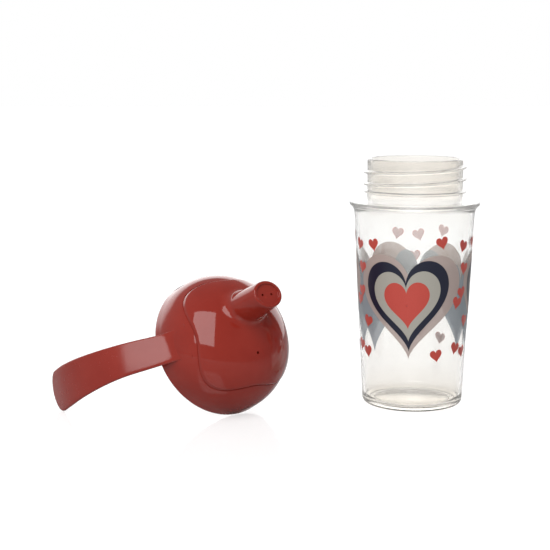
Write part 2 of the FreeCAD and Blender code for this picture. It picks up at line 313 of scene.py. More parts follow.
# -------------------------------------------------------------------- finishes
@dataclass(frozen=True)
class ClearPolypropylene:
    """Clarified polypropylene, injection moulded in a polished mould.

    It gives the eye a see-through wall, a misty neck where the steel was left less polished,
    and soft waves from the melt's flow. Its colour is painted darker and warmer at the foot
    and warmer at the neck: the polymer's own tint where it is thick, with painted shade of
    the thick base and of the doubled neck wall laid over it. These tints and the painted
    shade are given with their heights in millimetres.
    """

    name: str = "clarified_polypropylene"
    top: float = 144.0
    # The darker, warmer stops at the foot and the neck are painted shade of the thick base and the
    # doubled neck wall, laid over the polymer's own tint.
    tint_and_painted_shade: tuple[tuple[float, str], ...] = (
        (0.0, "E6E1D8"), (4.0, "F3F0EB"), (18.0, "FAF9F7"), (100.0, "FEFEFD"),
        (119.0, "FCFBF9"), (124.0, "F3F0EB"),
    )
    neck_from: float = 108.0
    neck_full: float = 119.0
    ior: float = 1.49
    body_roughness: float = 0.015
    neck_roughness: float = 0.19
    flow_width: float = 9.0
    flow_strength: float = 0.06
    flow_depth: float = 0.4
    clarity: float = 0.94
    shadow_tint: str = "F4F3F1"

    def make(self) -> bpy.types.Material:
        """Build the material."""
        material = blank_material(self.name)
        tree = material.node_tree
        where = add_node(tree, "ShaderNodeTexCoord")
        axes = add_node(tree, "ShaderNodeSeparateXYZ", {"Vector": where.outputs["Object"]})
        climb = add_node(tree, "ShaderNodeMapRange", {
            "Value": axes.outputs["Z"], "From Min": 0.0, "From Max": self.top * MM,
        })
        # Colour ramp up the cup's height: the polymer's tint with painted shade at the foot and the
        # neck.
        tint_and_shade_ramp = add_node(tree, "ShaderNodeValToRGB", {"Fac": climb.outputs["Result"]})
        stops = tint_and_shade_ramp.color_ramp.elements
        for _ in range(len(self.tint_and_painted_shade) - len(stops)):
            stops.new(0.5)
        for stop, (up, _) in zip(stops, self.tint_and_painted_shade):
            stop.position = up / self.top
        for stop, (_, colour) in zip(stops, self.tint_and_painted_shade):
            stop.color = linear_colour(colour)
        rough = add_node(tree, "ShaderNodeMapRange", {
            "Value": axes.outputs["Z"], "From Min": self.neck_from * MM,
            "From Max": self.neck_full * MM, "To Min": self.body_roughness,
            "To Max": self.neck_roughness,
        })
        wave = add_node(tree, "ShaderNodeBump", {
            "Height": noise(tree, where, self.flow_width, 1.0), "Strength": self.flow_strength,
            "Distance": self.flow_depth * MM,
        })
        wall = add_node(tree, "ShaderNodeBsdfPrincipled", {
            "Base Color": tint_and_shade_ramp.outputs["Color"], "Roughness": rough.outputs["Result"],
            "IOR": self.ior, "Transmission Weight": self.clarity, "Normal": wave.outputs["Normal"],
        })
        rays = add_node(tree, "ShaderNodeLightPath")
        passing = add_node(tree, "ShaderNodeBsdfTransparent", {
            "Color": linear_colour(self.shadow_tint),
        })
        mixed = add_node(tree, "ShaderNodeMixShader", {
            0: rays.outputs["Is Shadow Ray"], 1: wall.outputs["BSDF"],
            2: passing.outputs["BSDF"],
        })
        show(tree, mixed.outputs["Shader"])
        return material


@dataclass(frozen=True)
class RedPolypropylene:
    """Pigmented polypropylene, injection moulded in a polished mould.

    It gives the eye a deep glossy red whose reflections are sharp but waver a little, as
    the skin shrinks unevenly while it cools. It grows duller towards the strap's end, from
    worn_from to worn_full along X, where hands rub it.
    """

    name: str = "red_moulded_polypropylene"
    colour: str = "93281C"
    pale_colour: str = "9B3024"
    ior: float = 1.49
    roughness: float = 0.035
    rougher: float = 0.085
    worn: float = 0.2
    worn_from: float = -128.0
    worn_full: float = -166.0
    ripple_width: float = 7.0
    ripple_strength: float = 0.08
    ripple_depth: float = 0.5
    scuff_width: float = 2.5
    cloud_width: float = 22.0

    def make(self) -> bpy.types.Material:
        """Build the material."""
        material = blank_material(self.name)
        tree = material.node_tree
        where = add_node(tree, "ShaderNodeTexCoord")
        tone = two_tone(
            tree, noise(tree, where, self.cloud_width, 3.0),
            (0.35, linear_colour(self.colour)), (0.70, linear_colour(self.pale_colour)),
        )
        shiny = add_node(tree, "ShaderNodeMapRange", {
            "Value": noise(tree, where, self.scuff_width, 4.0), "From Min": 0.3, "From Max": 0.75,
            "To Min": self.roughness, "To Max": self.rougher,
        })
        axes = add_node(tree, "ShaderNodeSeparateXYZ", {"Vector": where.outputs["Object"]})
        handled = add_node(tree, "ShaderNodeMapRange", {
            "Value": axes.outputs["X"], "From Min": self.worn_full * MM,
            "From Max": self.worn_from * MM, "To Min": self.worn, "To Max": 0.0,
        })
        rough = add_node(tree, "ShaderNodeMath", {
            0: shiny.outputs["Result"], 1: handled.outputs["Result"],
        }, operation="ADD")
        wave = add_node(tree, "ShaderNodeBump", {
            "Height": noise(tree, where, self.ripple_width, 1.5),
            "Strength": self.ripple_strength, "Distance": self.ripple_depth * MM,
        })
        skin = add_node(tree, "ShaderNodeBsdfPrincipled", {
            "Base Color": tone, "Roughness": rough.outputs["Value"],
            "IOR": self.ior, "Normal": wave.outputs["Normal"],
        })
        show(tree, skin.outputs["BSDF"])
        return material


@dataclass(frozen=True)
class ScreenInk:
    """Screen-print ink cured on plastic.

    It gives the eye flat satin colour with the faint speckle of the mesh. A thin ink lets
    what is behind it show.
    """

    name: str
    colour: str
    cover: float = 1.0
    roughness: float = 0.35
    speckle: float = 0.35
    sunk_share: float = 0.93
    ior: float = 1.5

    def make(self) -> bpy.types.Material:
        """Build the material."""
        material = blank_material(self.name)
        tree = material.node_tree
        where = add_node(tree, "ShaderNodeTexCoord")
        solid = linear_colour(self.colour)
        sunk = tuple(self.sunk_share * part for part in solid[:3]) + (1.0,)
        tone = two_tone(
            tree, noise(tree, where, self.speckle, 2.0), (0.30, sunk), (0.70, solid)
        )
        coat = add_node(tree, "ShaderNodeBsdfPrincipled", {
            "Base Color": tone, "Roughness": self.roughness, "IOR": self.ior,
            "Alpha": self.cover,
        })
        show(tree, coat.outputs["BSDF"])
        return material


@dataclass(frozen=True)
class MilkySilicone:
    """Silicone rubber, compression moulded.

    It gives the eye a milky, soft-looking white with broad dull highlights and light that
    goes a little way in.
    """

    name: str = "milky_silicone_rubber"
    colour: str = "E6E5DF"
    ior: float = 1.41
    roughness: float = 0.42
    depth: float = 1.5
    dust: float = 0.8

    def make(self) -> bpy.types.Material:
        """Build the material."""
        material = blank_material(self.name)
        tree = material.node_tree
        where = add_node(tree, "ShaderNodeTexCoord")
        grain = noise(tree, where, self.dust, 3.0)
        rough = add_node(tree, "ShaderNodeMapRange", {
            "Value": grain, "To Min": self.roughness - 0.06,
            "To Max": self.roughness + 0.08,
        })
        skin = add_node(tree, "ShaderNodeBump", {
            "Height": grain, "Strength": 0.15, "Distance": 0.05 * MM,
        })
        rubber = add_node(tree, "ShaderNodeBsdfPrincipled", {
            "Base Color": linear_colour(self.colour), "Roughness": rough.outputs["Result"],
            "IOR": self.ior, "Subsurface Weight": 0.3, "Subsurface Scale": self.depth * MM,
            "Normal": skin.outputs["Normal"],
        })
        show(tree, rubber.outputs["BSDF"])
        return material


@dataclass(frozen=True)
class WhiteTable:
    """Gloss white acrylic sheet.

    It gives the eye a white ground that mirrors faintly what stands on it. It glows for
    the camera and through clear walls, and hardly at all for other rays.
    """

    name: str = "gloss_white_acrylic"
    colour: str = "BCBCBC"
    glow: float = 0.74
    dim_glow: float = 0.05
    gloss: float = 0.14
    roughness: float = 0.07

    def make(self) -> bpy.types.Material:
        """Build the material."""
        material = blank_material(self.name)
        tree = material.node_tree
        rays = add_node(tree, "ShaderNodeLightPath")
        straight = add_node(tree, "ShaderNodeMath", {
            0: rays.outputs["Is Camera Ray"], 1: rays.outputs["Is Transmission Ray"],
        }, operation="MAXIMUM")
        shine = add_node(tree, "ShaderNodeMapRange", {
            "Value": straight.outputs["Value"], "To Min": self.dim_glow,
            "To Max": self.glow,
        })
        body = add_node(tree, "ShaderNodeBsdfDiffuse", {"Color": linear_colour(self.colour)})
        light = add_node(tree, "ShaderNodeEmission", {"Strength": shine.outputs["Result"]})
        lit = add_node(tree, "ShaderNodeAddShader", {
            0: body.outputs["BSDF"], 1: light.outputs["Emission"],
        })
        mirror = add_node(tree, "ShaderNodeBsdfAnisotropic", {"Roughness": self.roughness})
        sheet = add_node(tree, "ShaderNodeMixShader", {
            0: self.gloss, 1: lit.outputs["Shader"], 2: mirror.outputs["BSDF"],
        })
        show(tree, sheet.outputs["Shader"])
        return material


# --------------------------------------------------------------- screw threads
@dataclass
class ThreadedWall:
    """A round wall with a helical ridge on it, on a grid whose rows follow the helix.

    A positive depth stands outwards and a negative one inwards. The ridge starts first
    degrees round from ridge_start, and fades in and out over run_out degrees.
    """

    radius: float
    low: float
    high: float
    ridge_start: float
    turns: float
    depth: float = 2.0
    pitch: float = 6.8
    first: float = 100.0
    root_width: float = 1.9
    tip_width: float = 0.7
    run_out: float = 34.0
    snap: float = 0.05
    columns: int = 240

    def row_offsets(self) -> list[float]:
        """Give the heights of one pitch's rows from the ridge's middle, in order."""
        tip, root = self.tip_width / 2.0, self.root_width / 2.0
        side = [
            0.5 * tip, 0.92 * tip, tip + 0.12, tip + 0.35 * (root - tip),
            tip + 0.7 * (root - tip), root - 0.06, root + 0.18, root + 0.7, root + 1.3,
        ]
        return [-step for step in reversed(side)] + [0.0] + side

    def ridge_share(self, offset: float, angle: float) -> float:
        """How much of the ridge's depth a point has.

        Args:
            offset: The point's height from the ridge's middle.
            angle: How far round the helix it is, in radians from the start.

        Returns:
            A share from 0 to 1.
        """
        tip, root = self.tip_width / 2.0, self.root_width / 2.0
        slope = (root - abs(offset)) / (root - tip)
        rounded = 0.5 * smooth_step(slope) + 0.5 * min(max(slope, 0.0), 1.0)
        fade = math.radians(self.run_out)
        end = self.turns * FULL_TURN
        begin = math.radians(self.first)
        reach = smooth_step((angle - begin) / fade) * smooth_step((end - angle) / fade)
        return rounded * reach

    def lay(self, skin: Skin) -> tuple[list[int], list[int]]:
        """Add the wall to a skin.

        Args:
            skin: The mesh that takes the wall.

        Returns:
            The point numbers of its lowest and its highest ring.
        """
        offsets = self.row_offsets()
        per_pitch = len(offsets)
        first_turn = math.floor((self.low - self.ridge_start) / self.pitch) - 1
        last_turn = math.ceil((self.high - self.ridge_start) / self.pitch) + 1
        turn_at = round_angles(self.columns)
        bottom = skin.row(
            (self.radius * math.cos(a), self.radius * math.sin(a), self.low) for a in turn_at
        )
        top = skin.row(
            (self.radius * math.cos(a), self.radius * math.sin(a), self.high) for a in turn_at
        )
        made: dict[tuple[int, int], int] = {}

        def spot(column: int, row: int) -> int:
            """Find or add the point of a column and a row."""
            if column == self.columns:
                column, row = 0, row + per_pitch
            turn, step = divmod(row, per_pitch)
            angle = turn_at[column]
            middle = self.ridge_start + self.pitch * (turn + angle / FULL_TURN)
            height = middle + offsets[step]
            if height <= self.low + self.snap:
                return bottom[column]
            if height >= self.high - self.snap:
                return top[column]
            if (column, row) not in made:
                share = self.ridge_share(offsets[step], turn * FULL_TURN + angle)
                reach = self.radius + self.depth * share
                made[column, row] = skin.point(
                    reach * math.cos(angle), reach * math.sin(angle), height
                )
            return made[column, row]

        for column in range(self.columns):
            for row in range(first_turn * per_pitch, last_turn * per_pitch):
                skin.face([
                    spot(column, row), spot(column + 1, row),
                    spot(column + 1, row + 1), spot(column, row + 1),
                ])
        return bottom, top


# ------------------------------------------------------------------ the tumbler
@dataclass
class Tumbler:
    """The clear cup: tapered body, flared rim with a flat shoulder, threaded neck."""

    height: float = 143.7
    neck_height: float = 24.8
    neck_radius: float = 27.5
    neck_wall: float = 2.0
    rim_radius: float = 37.6
    rim_height: float = 9.0
    rim_land: float = 1.6
    flare_round: float = 7.0
    top_radius: float = 34.5
    foot_radius: float = 29.13
    wall: float = 1.8
    foot_corner: float = 5.5
    ring_radius: float = 23.0
    recess: float = 1.2
    base: float = 2.2
    inner_corner: float = 5.0
    thread_start: float = 6.5
    thread_turns: float = 2.15
    bead_up: float = 5.7
    bead_depth: float = 1.8
    edge: float = 0.5
    lip: float = 0.9
    finish: ClearPolypropylene = field(default_factory=ClearPolypropylene)

    @property
    def shoulder(self) -> float:
        """Height of the flat shoulder."""
        return self.height - self.neck_height

    @property
    def flare_middle(self) -> Flat:
        """Reach and height of the flare's middle, a little inside its straight line."""
        reach = 0.5 * (self.top_radius + self.rim_radius) - 0.9
        return reach, self.shoulder - 0.45 * self.rim_height

    def wall_radius(self, height: float) -> float:
        """Outer radius of the tapered body at a height."""
        low = self.shoulder - self.rim_height
        return self.foot_radius + (self.top_radius - self.foot_radius) * height / low

    def outer_outline(self) -> list[Flat]:
        """Outline from the middle of the base up to the foot of the neck."""
        low = self.shoulder - self.rim_height
        bead = self.shoulder + self.bead_up
        bead_reach = self.neck_radius + self.bead_depth
        return rounded_outline([
            (0.0, self.recess, 0.0),
            (self.ring_radius - self.recess, self.recess, 0.8),
            (self.ring_radius, 0.0, 0.5),
            (self.foot_radius, 0.0, self.foot_corner),
            (self.top_radius, low, self.flare_round),
            (*self.flare_middle, self.flare_round),
            (self.rim_radius, self.shoulder - self.rim_land, 0.9),
            (self.rim_radius, self.shoulder, self.edge),
            (self.neck_radius, self.shoulder, self.edge),
            (self.neck_radius, bead - 1.0, 0.2),
            (bead_reach, bead - 0.35, 0.3),
            (bead_reach, bead + 0.35, 0.3),
            (self.neck_radius, bead + 1.0, 0.2),
            (self.neck_radius, bead + 1.6, 0.0),
        ])

    def inner_outline(self) -> list[Flat]:
        """Outline from the neck's lip down the inside to the middle of the floor."""
        low = self.shoulder - self.rim_height
        bore = self.neck_radius - self.neck_wall
        under = self.shoulder - self.wall
        room = self.top_radius - self.wall
        foot = self.wall_radius(self.base) - self.wall
        flare_reach, flare_up = self.flare_middle
        return rounded_outline([
            (self.neck_radius, self.height - 2.5, 0.0),
            (self.neck_radius, self.height, self.lip),
            (bore, self.height, self.lip),
            (bore, under, 1.2),
            (self.rim_radius - self.wall, under, 0.8),
            (flare_reach - self.wall, flare_up, self.flare_round),
            (room, low, self.flare_round),
            (foot, self.base, self.inner_corner),
            (0.0, self.base + self.recess / 2.0, 0.0),
        ])[1:]

    def mesh(self) -> bpy.types.Object:
        """Build the cup as one closed mesh."""
        skin = Skin()
        outer = self.outer_outline()
        inner = self.inner_outline()
        wall = ThreadedWall(
            self.neck_radius, outer[-1][1], inner[0][1],
            self.shoulder + self.thread_start, self.thread_turns,
        )
        angles = round_angles(wall.columns)

        def ring(across: float, up: float) -> list[int]:
            """Add one level ring."""
            return skin.row(
                (across * math.cos(a), across * math.sin(a), up) for a in angles
            )

        outside = [ring(*spot) for spot in outer[1:-1]]
        skin.cap(outside[0], (0.0, 0.0, outer[0][1]))
        skin.stack(outside)
        bottom, top = wall.lay(skin)
        skin.band(outside[-1], bottom)
        inside = [ring(*spot) for spot in inner[1:-1]]
        skin.band(top, inside[0])
        skin.stack(inside)
        skin.cap(inside[-1], (0.0, 0.0, inner[-1][1]))
        return skin.build("tumbler_wall", crease=50.0)

    def make(self) -> bpy.types.Object:
        """Build the cup, dress it and put it in the frame's cup body."""
        piece = self.mesh()
        piece.data.materials.append(self.finish.make())
        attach(piece, "cup")
        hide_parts("cup_body")
        LOG.info("tumbler: %d faces", len(piece.data.polygons))
        return piece


# -------------------------------------------------------------- printed hearts
class InkTone(Enum):
    """The inks of the print."""

    CORAL = "coral"
    NAVY = "navy"
    PALE = "pale"
    TAUPE = "taupe"
    BLUE = "blue"
    BACKING = "backing"


INKS = {
    InkTone.CORAL: ScreenInk("coral_screen_ink", "CC4E43"),
    InkTone.NAVY: ScreenInk("navy_screen_ink", "191D33"),
    InkTone.PALE: ScreenInk("stone_grey_screen_ink", "B2AEA4"),
    InkTone.TAUPE: ScreenInk("thin_taupe_screen_ink", "CBB8B1", 0.72),
    InkTone.BLUE: ScreenInk("thin_blue_grey_screen_ink", "AEB7BE", 0.58),
    InkTone.BACKING: ScreenInk("white_undercoat_ink", "F3DCDD", 0.50),
}


@dataclass(frozen=True)
class Heart:
    """One printed heart: where it sits round the cup and how it is turned."""

    tone: InkTone
    turn: float
    up: float
    width: float
    height: float
    tilt: float = 0.0
    layer: int = 0

    def outline(self, count: int) -> list[Flat]:
        """Give the heart's edge round its own middle, in millimetres.

        Args:
            count: Number of points.

        Returns:
            Across and up of each point.
        """
        edge = []
        lean = math.radians(self.tilt)
        for turn in round_angles(count, 0.5):
            across = math.sin(turn) ** 3
            up = (13 * math.cos(turn) - 5 * math.cos(2 * turn)
                  - 2 * math.cos(3 * turn) - math.cos(4 * turn)) / 14.5
            across *= self.width / 2.0
            up = (up + 0.17) * self.height / 2.0
            edge.append((
                across * math.cos(lean) - up * math.sin(lean),
                across * math.sin(lean) + up * math.cos(lean),
            ))
        return edge


@dataclass
class HeartPrint:
    """The print round the tumbler: three repeats of large, nested and small hearts."""

    cup: Tumbler
    centre: float = -12.0
    repeats: int = 3
    gap: float = 0.04
    ink: float = 0.03
    layer_gap: float = 0.01
    small: float = 7.4

    def large(self) -> list[Heart]:
        """The tinted hearts and the nested hearts of one repeat."""
        return [
            Heart(InkTone.BLUE, 61.0, 60.0, 32.0, 53.0, 0.0, 1),
            Heart(InkTone.BLUE, -38.0, 56.5, 28.0, 46.0, 0.0, 0),
            Heart(InkTone.TAUPE, 2.0, 61.5, 63.0, 60.0, 0.0, 2),
            Heart(InkTone.BACKING, 0.0, 62.0, 49.5, 51.5, 3.0, 3),
            Heart(InkTone.NAVY, 0.0, 62.0, 50.0, 52.0, 3.0, 4),
            Heart(InkTone.PALE, 0.0, 62.0, 39.0, 40.5, 3.0, 5),
            Heart(InkTone.CORAL, 0.0, 62.5, 26.0, 27.0, 3.0, 6),
        ]

    def scattered(self) -> list[Heart]:
        """The small hearts of one repeat, from the motif's middle."""
        spots = [
            (34, 98, 14), (61, 95, -18), (84, 96, 12), (65, 82, -10), (63, 68, 8),
            (56, 62.6, -14), (73, 51, -12), (71, 33, 10), (57, 36, -16), (32, 33, 8),
        ]
        hearts = []
        for turn, up, tilt in spots:
            for tone, share, layer in ((InkTone.BACKING, 0.94, 3), (InkTone.CORAL, 1.0, 4)):
                size = self.small * share
                hearts.append(Heart(tone, turn, up, size, size, tilt, layer))
        return hearts

    def patch(self, heart: Heart, shift: float, skins: dict[InkTone, Skin]) -> None:
        """Add one heart to the skin of its ink, as a thin closed layer.

        Args:
            heart: The heart.
            shift: The repeat's turn in degrees.
            skins: The skin of each ink.
        """
        count, rings = (144, 26) if heart.width > 2.0 * self.small else (40, 5)
        edge = heart.outline(count)
        middle = math.radians(self.centre + shift + heart.turn)

        def on_wall(across: float, up: float, proud: float) -> Point:
            """Wrap a flat point on the tapered wall."""
            height = heart.up + up
            reach = self.cup.wall_radius(height) + proud
            angle = middle + across / self.cup.wall_radius(heart.up)
            return reach * math.sin(angle), -reach * math.cos(angle), height

        low = self.gap + heart.layer * (self.ink + self.layer_gap)
        skin = skins[heart.tone]
        edges = []
        for proud in (low + self.ink, low):
            rows = [
                skin.row(on_wall(x * ring / rings, y * ring / rings, proud) for x, y in edge)
                for ring in range(1, rings + 1)
            ]
            skin.stack(rows)
            skin.cap(rows[0], on_wall(0.0, 0.0, proud))
            edges.append(rows[-1])
        skin.band(edges[0], edges[1])

    def make(self) -> list[bpy.types.Object]:
        """Build one piece for each ink and put it in the frame's cup body."""
        skins = {tone: Skin() for tone in InkTone}
        for repeat in range(self.repeats):
            shift = 360.0 / self.repeats * repeat
            for heart in self.large() + self.scattered():
                self.patch(heart, shift, skins)
        pieces = []
        for tone, skin in skins.items():
            if not skin.faces:
                continue
            piece = skin.build("print_" + tone.value, crease=60.0)
            piece.data.materials.append(INKS[tone].make())
            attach(piece, "cup")
            LOG.info("print in %s ink: %d faces", tone.value, len(piece.data.polygons))
            pieces.append(piece)
        return pieces


# ---------------------------------------------------------------------- the lid
@dataclass
class CarryStrap:
    """The lid's open carrying strap: one curved band that widens towards its end."""

    dome_radius: float = 40.2
    root_width: float = 16.6
    end_width: float = 24.2
    thickness: float = 2.8
    reach: float = 74.0
    drop: float = 66.5
    root_height: float = 13.5
    root_rise: float = 8.6
    end_corner: float = 4.0
    end_bow: float = 5.0
    edge: float = 0.9
    crown: float = 0.8
    root_flare: float = 1.6
    flare_run: float = 18.0

    def centre_line(self) -> np.ndarray:
        """Points along the band's middle, on a natural spline: reach from the axis, height."""
        corners = np.array([
            (0.82 * self.dome_radius, self.root_height + self.root_rise),
            (self.dome_radius - 2.2, self.root_height),
            (0.66 * self.reach, 0.3 * self.root_height),
            (0.818 * self.reach, -0.078 * self.drop),
            (0.93 * self.reach, -0.276 * self.drop),
            (0.99 * self.reach, -0.51 * self.drop),
            (0.997 * self.reach, -0.74 * self.drop),
            (0.965 * self.reach, -self.drop),
        ])
        knots = np.concatenate([[0.0], np.cumsum(np.hypot(*np.diff(corners, axis=0).T))])
        count = len(corners)
        system = np.zeros((count, count))
        right = np.zeros((count, 2))
        gaps = np.diff(knots)
        slopes = np.diff(corners, axis=0) / gaps[:, None]
        system[0, 0] = system[-1, -1] = 1.0
        for index in range(1, count - 1):
            system[index, index - 1] = gaps[index - 1]
            system[index, index] = 2.0 * (gaps[index - 1] + gaps[index])
            system[index, index + 1] = gaps[index]
            right[index] = 6.0 * (slopes[index] - slopes[index - 1])
        bends = np.linalg.solve(system, right)
        spots = []
        for index in range(count - 1):
            for share in np.linspace(0.0, 1.0, 24, endpoint=index == count - 2):
                gap, rest = gaps[index], 1.0 - share
                spots.append(
                    rest * corners[index] + share * corners[index + 1]
                    + gap * gap / 6.0 * (
                        (rest ** 3 - rest) * bends[index]
                        + (share ** 3 - share) * bends[index + 1]
                    )
                )
        return np.array(spots)

    def half_width(self, height: float) -> float:
        """Half the band's width at a height of its middle."""
        fall = min(max((self.root_height - height) / (self.root_height + self.drop), 0.0), 1.0)
        share = 0.12 * smooth_step(fall / 0.17) + 0.88 * smooth_step((fall - 0.05) / 0.80)
        return 0.5 * (self.root_width + (self.end_width - self.root_width) * share)

    def mesh(self, place: Matrix) -> bpy.types.Object:
        """Build the band as one closed mesh."""
        line = self.centre_line()
        travel = np.concatenate([[0.0], np.cumsum(np.hypot(*np.diff(line, axis=0).T))])
        length = float(travel[-1])
        inset_steps = [0.0, 0.04, 0.14, 0.32, 0.6, 1.0]
        insets = [self.edge * step for step in inset_steps]
        inner = [-0.86, -0.66, -0.44, -0.22, 0.0, 0.22, 0.44, 0.66, 0.86]
        runs = [2.0 * step / 3.0 for step in range(int(1.5 * (length - 10.0)))]
        end_rows = [length - 9.0, length - 7.0, length - 5.2, length - 3.6, length - 2.2]
        end_rows += [length - inset for inset in reversed(insets)]
        rows = [run for run in runs if run < length - 10.0] + end_rows

        def end_fall(share: float) -> float:
            """How far the end's edge lies short of the tip at a share of the width."""
            across = abs(share) * self.end_width / 2.0
            fall = self.end_bow * share * share
            corner = across - (self.end_width / 2.0 - self.end_corner)
            if corner > 0:
                fall += self.end_corner - math.sqrt(
                    max(self.end_corner ** 2 - corner ** 2, 0.0)
                )
            return fall

        def section(row: float) -> tuple[list[Point], list[Point]]:
            """Outer and inner skin points across the band at one row."""
            nominal = float(np.interp(row, travel, line[:, 1]))
            half = self.half_width(nominal)
            half += max(1.0 - row / self.flare_run, 0.0) ** 2 * self.root_flare
            across = [-half + inset for inset in insets]
            across += [share * (half - self.edge) for share in inner]
            across += [half - inset for inset in reversed(insets)]
            fronts, backs = [], []
            for y in across:
                share = y / half
                fall = end_fall(share)
                shrink = smooth_step((row - 0.72 * length) / (0.28 * length))
                along = row - fall * shrink
                x, z = (float(np.interp(along, travel, line[:, k])) for k in (0, 1))
                ahead = [float(np.interp(along + 0.4, travel, line[:, k])) for k in (0, 1)]
                behind = [float(np.interp(along - 0.4, travel, line[:, k])) for k in (0, 1)]
                way = Vector((ahead[0] - behind[0], ahead[1] - behind[1])).normalized()
                side = half - abs(y)
                end = length - row
                near = min(side, end, self.edge)
                half_thick = self.thickness / 2.0 - self.edge
                half_thick += math.sqrt(max(self.edge ** 2 - (self.edge - near) ** 2, 0.0))
                out = Vector((-way.y, way.x))
                half_thick -= 0.5 * self.crown * share * share
                fronts.append((-(x + out.x * half_thick), y, z + out.y * half_thick))
                backs.append((-(x - out.x * half_thick), y, z - out.y * half_thick))
            return fronts, backs

        skin = Skin()
        front_rows, back_rows = [], []
        for row in rows:
            fronts, backs = section(row)
            front_rows.append(skin.row(fronts))
            back_rows.append(skin.row(backs))
        skin.stack(front_rows, closed=False)
        skin.stack(back_rows, closed=False)
        skin.band(front_rows[0], back_rows[0], closed=False)
        skin.band(front_rows[-1], back_rows[-1], closed=False)
        for side in (0, -1):
            skin.band(
                [row[side] for row in front_rows], [row[side] for row in back_rows], closed=False
            )
        return skin.build("strap", place)


@dataclass
class DomeLid:
    """The lid in its own frame: open rim at height 0, dome up, spout towards +Y."""

    radius: float = 40.6
    skirt: float = 3.7
    height: float = 37.5
    step: float = 0.4
    wall: float = 1.8
    power: float = 2.22
    panel_waist: float = 31.6
    panel_corner: float = 37.0
    panel_raise: float = 0.7
    panel_step: float = 0.6
    panel_groove: float = 0.28
    spout_offset: float = 11.4
    spout_height: float = 59.0
    tip_length: float = 18.8
    tip_width: float = 15.6
    foot_length: float = 23.8
    foot_width: float = 18.6
    fillet: float = 4.2
    spout_wall: float = 2.0
    spout_lip: float = 1.7
    tip_recess: float = 1.2
    hole: float = 1.5
    hole_pitch: float = 6.1
    vent_offset: float = 15.2
    vent_hole: float = 1.6
    collar_radius: float = 29.85
    collar_wall: float = 1.6
    collar_start: float = 3.0
    collar_top: float = 25.0
    ridge_start: float = 11.9
    ridge_turns: float = 1.6
    ridge_depth: float = 1.3
    plug_radius: float = 25.3
    plug_wall: float = 1.2
    plug_start: float = 23.8
    spigot_end: float = 27.0
    vent_spigot: float = 5.0
    spigot_wall: float = 1.8
    tilt: float = 62.8
    heading: float = 39.4
    spin: float = -1.84
    across: float = -115.0
    back: float = -17.5
    columns: int = 256
    strap: CarryStrap = field(default_factory=CarryStrap)
    finish: RedPolypropylene = field(default_factory=RedPolypropylene)

    def place(self) -> Matrix:
        """Where the lid lies, in millimetres."""
        lift = self.radius * math.sin(math.radians(self.tilt))
        return (
            Matrix.Translation((self.across, self.back, lift))
            @ Matrix.Rotation(math.radians(self.heading), 4, "Z")
            @ Matrix.Rotation(math.radians(self.tilt), 4, "X")
            @ Matrix.Rotation(math.radians(self.spin), 4, "Z")
        )

    def dome_up(self, reach: float, proud: float = 0.0) -> float:
        """Height of the dome at a distance from its axis.

        Args:
            reach: Distance from the axis.
            proud: How far the surface stands out from the plain dome.

        Returns:
            The height.
        """
        wide = self.radius - self.step + proud
        rise = self.height - self.skirt + proud
        share = min(reach / wide, 1.0)
        return self.skirt + rise * (1.0 - share ** self.power) ** (1.0 / self.power)

    def panel_edge(self, angle: float) -> float:
        """Reach of the raised panel: a square with four hollow sides."""
        mean = (self.panel_waist + self.panel_corner) / 2.0
        swing = (self.panel_corner - self.panel_waist) / 2.0
        return mean - swing * math.cos(4.0 * angle)

    def spout_oval(self, up: float, inset: float = 0.0) -> Flat:
        """Half length and half width of the spout's outside at a height."""
        share = (up - self.height) / (self.spout_height - self.height)
        length = self.foot_length + (self.tip_length - self.foot_length) * share
        width = self.foot_width + (self.tip_width - self.foot_width) * share
        return length / 2.0 - inset, width / 2.0 - inset

    def shell(self, place: Matrix) -> bpy.types.Object:
        """Build the dome with its solid spout and its inner surface."""
        skin = Skin()
        angles = round_angles(self.columns)
        rows: list[list[int]] = []

        def ring(maker: Callable[[float], Point]) -> None:
            """Add one ring, a point for each column's angle."""
            rows.append(skin.row(maker(angle) for angle in angles))

        top = self.spout_height
        dish = top - self.tip_recess
        for share in (0.12, 0.35, 0.6, 0.82):
            half_length, half_width = self.spout_oval(top, self.spout_lip)
            ring(lambda a, s=share, p=half_length, q=half_width: (
                s * p * math.cos(a), self.spout_offset + s * q * math.sin(a), dish
            ))
        lip = self.spout_lip
        profile = rounded_outline([
            (lip + 2.0, dish, 0.0), (lip + 0.15, dish, 0.35), (lip, top, 0.45),
            (0.0, top, 0.9), (0.0, top - 4.0, 0.0),
        ], 5)
        for inset, up in profile[1:-1]:
            half_length, half_width = self.spout_oval(top, inset)
            ring(lambda a, p=half_length, q=half_width, z=up: (
                p * math.cos(a), self.spout_offset + q * math.sin(a), z
            ))
        tip_end = profile[-2][1]

        def foot(angle: float) -> tuple[Point, Point, Point]:
            """The fillet's three guide points: on the wall, in the corner, on the dome."""
            half_length, half_width = self.foot_length / 2.0, self.foot_width / 2.0
            way = Vector((math.cos(angle) / half_length, math.sin(angle) / half_width))
            way.normalize()
            x = half_length * math.cos(angle)
            y = self.spout_offset + half_width * math.sin(angle)
            corner_up = self.dome_up(math.hypot(x, y), self.panel_raise)
            wide = self.spout_oval(corner_up)
            x = wide[0] * math.cos(angle)
            y = self.spout_offset + wide[1] * math.sin(angle)
            out = (x + way.x * self.fillet, y + way.y * self.fillet)
            rise_up = corner_up + self.fillet
            slim = self.spout_oval(rise_up)
            on_wall = (
                slim[0] * math.cos(angle), self.spout_offset + slim[1] * math.sin(angle), rise_up
            )
            on_dome = (*out, self.dome_up(math.hypot(*out), self.panel_raise))
            return on_wall, (x, y, corner_up), on_dome

        def wall_point(angle: float, share: float) -> Point:
            """A point of the spout's side, from the tip down to the fillet."""
            low = foot(angle)[0][2]
            up = tip_end + (low - tip_end) * share
            half_length, half_width = self.spout_oval(up)
            return half_length * math.cos(angle), self.spout_offset + half_width * math.sin(angle), up

